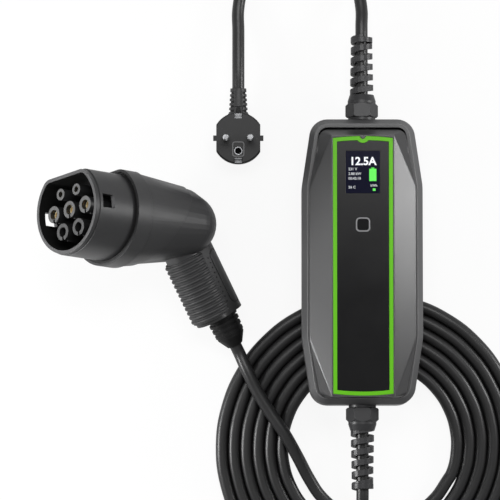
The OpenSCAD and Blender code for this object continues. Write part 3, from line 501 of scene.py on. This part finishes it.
# Painted highlight: the cover's edges get a paler colour.
dress(painted_edge_highlights(cover_plastic, (0.16, 0.16, 0.163)), "front_cover")
dress(finish("gland_plastic", (0.03, 0.03, 0.032), rough=0.38), "inlet_nut", "outlet_nut", "inlet_gland",
      "outlet_gland", "inlet_locknut", "outlet_locknut")
dress(finish("head_plastic", (0.04, 0.04, 0.0415), rough=0.4), "head_housing")
handle_plastic = finish("handle_plastic", (0.022, 0.022, 0.0227), rough=0.4)
second_tone(handle_plastic, ramp(handle_plastic, "Y", HANDLE_DARK_Y, HANDLE_PALE_Y), (0.038, 0.038, 0.0395))
dress(handle_plastic, "grip_handle")
plug_plastic = finish("plug_plastic", (0.016, 0.016, 0.0166), rough=0.45)
second_tone(plug_plastic, ramp(plug_plastic, "Y", PLUG_DARK_Y, PLUG_PALE_Y), (0.024, 0.024, 0.0248))
dress(plug_plastic, "plug_body")
coat(finish("key_plastic", (0.16, 0.16, 0.163), rough=0.4, edge=0.0002), earth_key)
dress(finish("grip_rubber", (0.036, 0.036, 0.037), rough=0.5, grain=1500.0), "grip_sleeve")
guard_rubber = finish("guard_rubber", (0.005, 0.005, 0.0052), rough=0.5, specular=0.3)
dress(guard_rubber, "handle_guard")
coat(guard_rubber, grip_dots, guard_core)
dress(finish("seal_rubber", (0.008, 0.008, 0.008), rough=0.65), "cover_seal", "shroud_seal", "inlet_seal",
      "outlet_seal")
dress(finish("switch_plastic", (0.03, 0.03, 0.03), rough=0.5), "button_switch", "current_transformer")
dress(finish("clamp_plastic", (0.13, 0.13, 0.14), rough=0.5), "cord_clamp")

# %% [markdown]
# ## Hollow of the connector
# The hollow of the connector gets painted shade, so it looks almost black, and its front rim a painted
# highlight, so it is paler. The inner faces could get a material of their own, but the mesh of a solid is
# left alone. So the wall is darkened where it faces the axis: the part of a point's position that lies across
# the axis is compared with the normal. The rim is found by its normal alone.

# %% Connector shroud
FACE_AT = Vector((-96.5, 36.5, 81.544)) * MM
FACE_AXIS = (-0.7223, 0.1144, 0.682)
FACING_FROM, FACING_TO = 0.9, 0.97
INSIDE_FROM, INSIDE_TO = -0.002, -0.006


def highlight_on_faces(material, direction):
    """A mask of the surfaces that face a direction, where a painted highlight goes."""
    tree = material.node_tree
    place = tree.nodes.new("ShaderNodeTexCoord")
    product = vector_math(tree, "DOT_PRODUCT", place.outputs["Normal"], direction)
    return mask_between(tree, product.outputs["Value"], FACING_FROM, FACING_TO)


shroud_plastic = finish("shroud_plastic", (0.034, 0.034, 0.0355), rough=0.4)
shroud_tree = shroud_plastic.node_tree
shroud_place = shroud_tree.nodes.new("ShaderNodeTexCoord")
axis = shroud_tree.nodes.new("ShaderNodeCombineXYZ")
for socket, part in zip(axis.inputs, FACE_AXIS):
    socket.default_value = part
from_face = vector_math(shroud_tree, "SUBTRACT", shroud_place.outputs["Object"], FACE_AT)
along = vector_math(shroud_tree, "DOT_PRODUCT", from_face.outputs["Vector"], FACE_AXIS)
along_axis = vector_math(shroud_tree, "SCALE", axis.outputs["Vector"], scale=along.outputs["Value"])
across = vector_math(shroud_tree, "SUBTRACT", from_face.outputs["Vector"], along_axis.outputs["Vector"])
outward = vector_math(shroud_tree, "DOT_PRODUCT", across.outputs["Vector"], shroud_place.outputs["Normal"])
inside = mask_between(shroud_tree, outward.outputs["Value"], INSIDE_FROM, INSIDE_TO)
# Painted shade: the inner wall of the hollow gets an almost black colour.
second_tone(shroud_plastic, inside, (0.008, 0.008, 0.008))
# Painted highlight: the front rim, which faces out of the connector, gets a paler colour.
second_tone(shroud_plastic, highlight_on_faces(shroud_plastic, FACE_AXIS), (0.075, 0.075, 0.077))
dress(shroud_plastic, "shroud")

# %% [markdown]
# ## Sleeves and contacts
# The sleeves are dark tubes, and a painted highlight gives them pale front faces: a second tone on the
# surfaces that face out of the connector. The brass contacts inside them get one too. The two spare sleeves
# are a little darker.

# %% Sleeves and contacts
dress(finish("carrier_plastic", (0.01, 0.01, 0.0105), rough=0.5), "contact_carrier")
sleeve_plastic = finish("sleeve_plastic", (0.02, 0.02, 0.021), rough=0.42, edge=0.0003)
# Painted highlight: the front faces of the sleeves get a paler colour.
second_tone(sleeve_plastic, highlight_on_faces(sleeve_plastic, FACE_AXIS), (0.1, 0.1, 0.1))
dress(sleeve_plastic, "power_sleeves", "signal_sleeves")
spare_plastic = finish("spare_plastic", (0.015, 0.015, 0.0155), rough=0.42, edge=0.0003)
# Painted highlight: the front faces of the spare sleeves get a paler colour.
second_tone(spare_plastic, highlight_on_faces(spare_plastic, FACE_AXIS), (0.06, 0.06, 0.061))
dress(spare_plastic, "spare_sleeves")
contact_brass = finish("contact_brass", (0.95, 0.78, 0.45), rough=0.45, tone=0.1, metallic=0.35,
                       depth=0.00001, shade_reach=0.0005)
# Painted highlight: the front faces of the brass contacts get a paler brass.
second_tone(contact_brass, highlight_on_faces(contact_brass, FACE_AXIS), (1, 0.88, 0.58))
dress(contact_brass, "line_contact", "neutral_contact", "earth_contact", "signal_contacts")

# %% [markdown]
# ## Front panel
# The coloured trim is glossy green. The panel inside it is black and polished, and a painted reflection
# makes it fade to graphite towards the display. The fade is a ramp along the panel's length, so it is the
# same under any light.

# %% Trim, panel and button
PANEL_REFLECTION_START_Y, PANEL_REFLECTION_FULL_Y = -0.02, 0.1
dress(finish("green_trim", (0.13, 0.52, 0.008), rough=0.34, rough_change=0.04, tone=0.06, depth=0.00001,
             specular=0.2), "panel_trim")
dress(finish("button_black", (0.004, 0.004, 0.0045), rough=0.34, rough_change=0.04, depth=0.00001,
             specular=0.08), "button_cap")
dress(finish("button_rim", (0.26, 0.26, 0.27), rough=0.35, rough_change=0.04, depth=0.00001), "button_ring")
panel_gloss = finish("panel_gloss", (0.006, 0.006, 0.0065), rough=0.22, rough_change=0.05, depth=0.00001,
                     specular=0.2)
# Painted reflection: graphite laid over the black towards the display.
second_tone(panel_gloss, ramp(panel_gloss, "Y", PANEL_REFLECTION_START_Y, PANEL_REFLECTION_FULL_Y), (0.024, 0.024, 0.0247))
dress(panel_gloss, "front_panel")
dress(finish("display_glass", (0.005, 0.0055, 0.019), rough=0.14, rough_change=0.04, depth=0.000005,
             specular=0.1), "display_window")

# %% [markdown]
# ## Metals and inner pieces
# The pins and clips of the plug are bright plated metal. The earth socket gets painted shade: its metal is
# dark, and only its upper rim has the bright colour. What sits inside the box is seen only when the box is
# opened, and still gets the colours that such pieces have.

# %% Metals and electronics
SOCKET_SHADE_TOP_Z, SOCKET_RIM_Z = 0.0253, 0.0256
dress(finish("plated_pin", (0.72, 0.73, 0.75), rough=0.23, rough_change=0.03, tone=0.05, metallic=1.0,
             depth=0.000001, edge=0.0002), "live_pin", "neutral_pin", "earth_clips")
socket_metal = finish("socket_metal", (0.05, 0.05, 0.052), rough=0.3, metallic=1.0, depth=0.000005,
                      edge=0.0002)
# Painted shade: the socket is dark metal, and bright only at its upper rim.
second_tone(socket_metal, ramp(socket_metal, "Z", SOCKET_SHADE_TOP_Z, SOCKET_RIM_Z), (0.6, 0.61, 0.63))
dress(socket_metal, "earth_socket")
dress(finish("screw_steel", (0.5, 0.5, 0.52), rough=0.3, metallic=1.0), "board_screws", "cover_screws")
dress(finish("display_metal", (0.6, 0.62, 0.65), rough=0.35, metallic=1.0), "display_module")
dress(finish("circuit_board", (0.015, 0.13, 0.045), rough=0.4), "control_board", "display_board")
dress(finish("relay_plastic", (0.02, 0.09, 0.35), rough=0.3), "relays")
dress(finish("winding_tape", (0.6, 0.38, 0.05), rough=0.45), "supply_transformer")
dress(finish("capacitor_sleeve", (0.02, 0.03, 0.09), rough=0.3), "capacitors")
dress(finish("terminal_plastic", (0.05, 0.27, 0.09), rough=0.45), "terminal_blocks")

# %% [markdown]
# ## Cord finish
# The jacket of the cords is extruded rubber: dark, with a soft sheen that runs along it as a bright line. The
# line comes from the lamp above, so the jacket only has to be smooth enough to show it.

# %% Cord jacket
cord_jacket = finish("cord_jacket", (0.02, 0.02, 0.0205), rough=0.36, rough_change=0.05, grain=900.0,
                     depth=0.00003)
coat(cord_jacket, mains_lead, output_cord)

# %% [markdown]
# ## Display
# The lit display is a thin layer on the window: one large number, a few small lines and a battery that is
# filling up. Text is made as a text object, turned into a mesh and then moved onto the tilted box.

# %% Display light


def glow(name, colour, strength):
    material = finish(name, colour, rough=0.4, tone=0.03)
    shader = material.node_tree.nodes["Principled BSDF"]
    tone = shader.inputs["Base Color"].links[0].from_socket
    material.node_tree.links.new(tone, shader.inputs["Emission Color"])
    shader.inputs["Emission Strength"].default_value = strength
    print(name, "strength:", strength)
    return material


white_light = glow("white_light", (0.8, 0.82, 0.85), 0.35)
grey_light = glow("grey_light", (0.55, 0.57, 0.6), 0.3)
green_light = glow("green_light", (0.08, 0.72, 0.06), 0.35)

# %% [markdown]
# The readouts are measured from the middle of the display, in millimetres. An offset of their outline makes
# the letters bold, those of the large number most.

# %% Readouts
GLASS_Z, DISPLAY_Y = 52.22, 67.5
TEXT_DEPTH, TEXT_STEPS = 0.02, 3
LINE_X, LINE_Y, LINE_STEP, LINE_SIZE = -11.2, 1.4, 3.6, 2.8


def settle(piece, material):
    """Puts a flat piece that was made along the box's axes in its place and attaches it to the set."""
    bpy.ops.object.select_all(action="DESELECT")
    piece.select_set(True)
    bpy.context.view_layer.objects.active = piece
    piece.matrix_world = box_place @ piece.matrix_world
    bpy.ops.object.transform_apply(location=True, rotation=True, scale=True)
    piece.data.materials.clear()
    piece.data.materials.append(material)
    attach(piece, "set")
    print(piece.name, "faces:", len(piece.data.polygons))


def readout(name, words, x, y, size, material, align="LEFT", bold=0.06):
    piece = start_piece(name, bpy.ops.object.text_add, location=Vector((x, DISPLAY_Y + y, GLASS_Z)) * MM)
    piece.data.body = words
    piece.data.size = size * MM
    piece.data.align_x = align
    piece.data.extrude = TEXT_DEPTH * MM
    piece.data.offset = bold * MM
    piece.data.resolution_u = TEXT_STEPS
    bpy.ops.object.convert(target="MESH")
    settle(bpy.context.object, material)


readout("display_current", "12.5A", 0, 5.6, 8.6, white_light, align="CENTER", bold=0.26)
for row, words in enumerate(("231 V", "2.88 kW", "00:42:10")):
    readout(f"display_line_{row}", words, LINE_X, LINE_Y - LINE_STEP * row, LINE_SIZE, grey_light)
readout("display_warmth", "26 C", LINE_X, -12.6, LINE_SIZE, grey_light)
readout("display_unit", "kWh", 5.8, -11.2, 2.6, grey_light)

# %% [markdown]
# The battery is a plate with soft corners, made by bevelling the corners of a plane, with a second small
# plate above it as its cap. A third one is the block in the display's lower corner.

# %% Battery symbol
PLATE_H, PLATE_STEPS = 0.04, 4


def plate(name, x, y, width, length, corner):
    piece = start_piece(name, bpy.ops.mesh.primitive_plane_add, size=1,
                        location=Vector((x, DISPLAY_Y + y, GLASS_Z)) * MM)
    round_plate(piece, width, length, corner, PLATE_STEPS)
    raise_plate(PLATE_H)
    settle(piece, green_light)


plate("battery_fill", 7.6, -2.2, 5.6, 9.6, corner=0.5)
plate("battery_cap", 7.6, 3.1, 2.4, 0.8, corner=0.2)
plate("signal_block", 8.6, -13.6, 2.2, 2.0, corner=0.2)

# %% [markdown]
# ## Table
# The set lies on a plain white table. For the camera, also through clear pieces, most of the table's white
# comes from a faint glow, so it stays white and still keeps a soft shadow. Other rays, such as reflections,
# see a plain matt white.

# %% Table
TABLE_SIZE, TABLE_DROP = 12, 0.0004
TABLE_GREY, GLOW_STRENGTH, GLOW_SHARE = 0.86, 1.02, 0.88
table_top = start_piece("table_top", bpy.ops.mesh.primitive_plane_add, size=TABLE_SIZE,
                        location=(0, 0, -TABLE_DROP))
table_white = bpy.data.materials.new("table_white")
table_white.use_nodes = True
white_tree = table_white.node_tree
white_tree.nodes.remove(white_tree.nodes["Principled BSDF"])
matt = add_node(white_tree, "ShaderNodeBsdfDiffuse", Color=(TABLE_GREY, TABLE_GREY, TABLE_GREY, 1))
lit = add_node(white_tree, "ShaderNodeEmission", Color=(1, 1, 1, 1), Strength=GLOW_STRENGTH)
ray = white_tree.nodes.new("ShaderNodeLightPath")
seen = white_tree.nodes.new("ShaderNodeMath")
seen.operation = "MAXIMUM"
share = white_tree.nodes.new("ShaderNodeMath")
share.operation = "MULTIPLY"
share.inputs[1].default_value = GLOW_SHARE
both = white_tree.nodes.new("ShaderNodeMixShader")
white_tree.links.new(ray.outputs["Is Camera Ray"], seen.inputs[0])
white_tree.links.new(ray.outputs["Is Transmission Ray"], seen.inputs[1])
white_tree.links.new(seen.outputs[0], share.inputs[0])
white_tree.links.new(share.outputs[0], both.inputs[0])
white_tree.links.new(matt.outputs[0], both.inputs[1])
white_tree.links.new(lit.outputs[0], both.inputs[2])
white_tree.links.new(both.outputs[0], white_tree.nodes["Material Output"].inputs["Surface"])
coat(table_white, table_top)

# %% [markdown]
# ## Light
# A low lamp on each side shows as a soft gradient on a slope of the box, a small one shines into the
# connector, and a broad one above draws bright lines along the cords. A pale sky fills the shadows. The view
# transform Standard keeps the white of the table and the green of the trim as they are.

# %% Lamps
SKY_STRENGTH = 0.3


def soft_lamp(name, place, aim, size, power):
    data = bpy.data.lights.new(name, "AREA")
    data.shape = "RECTANGLE"
    data.size, data.size_y = size
    data.energy = power
    lamp = bpy.data.objects.new(name, data)
    lamp.location = place
    lamp.rotation_euler = (Vector(place) - Vector(aim)).to_track_quat("Z", "Y").to_euler()
    lamp.visible_camera = False
    bpy.context.scene.collection.objects.link(lamp)
    print(name, power)


soft_lamp("right_lamp", place=(0.82, 0.17, 0.32), aim=(0.14, 0.06, 0.04), size=(0.2, 0.16), power=2.4)
soft_lamp("left_lamp", place=(-0.60, -0.13, 0.28), aim=(0.06, -0.1, 0.04), size=(0.18, 0.14), power=2.9)
soft_lamp("face_lamp", place=(-0.36, 0.08, 0.33), aim=(-0.11, 0.04, 0.09), size=(0.12, 0.12), power=0.22)
soft_lamp("top_lamp", place=(0.1, 0.7, 1.7), aim=(0.04, 0, 0.03), size=(1.2, 0.5), power=12)
world = bpy.data.worlds.new("studio")
world.use_nodes = True
sky = world.node_tree.nodes["Background"]
sky.inputs["Color"].default_value = (1, 1, 1, 1)
sky.inputs["Strength"].default_value = SKY_STRENGTH
bpy.context.scene.world = world
bpy.context.scene.view_settings.view_transform = "Standard"

# %% [markdown]
# ## Finish

# %% Finish
bpy.context.view_layer.update()
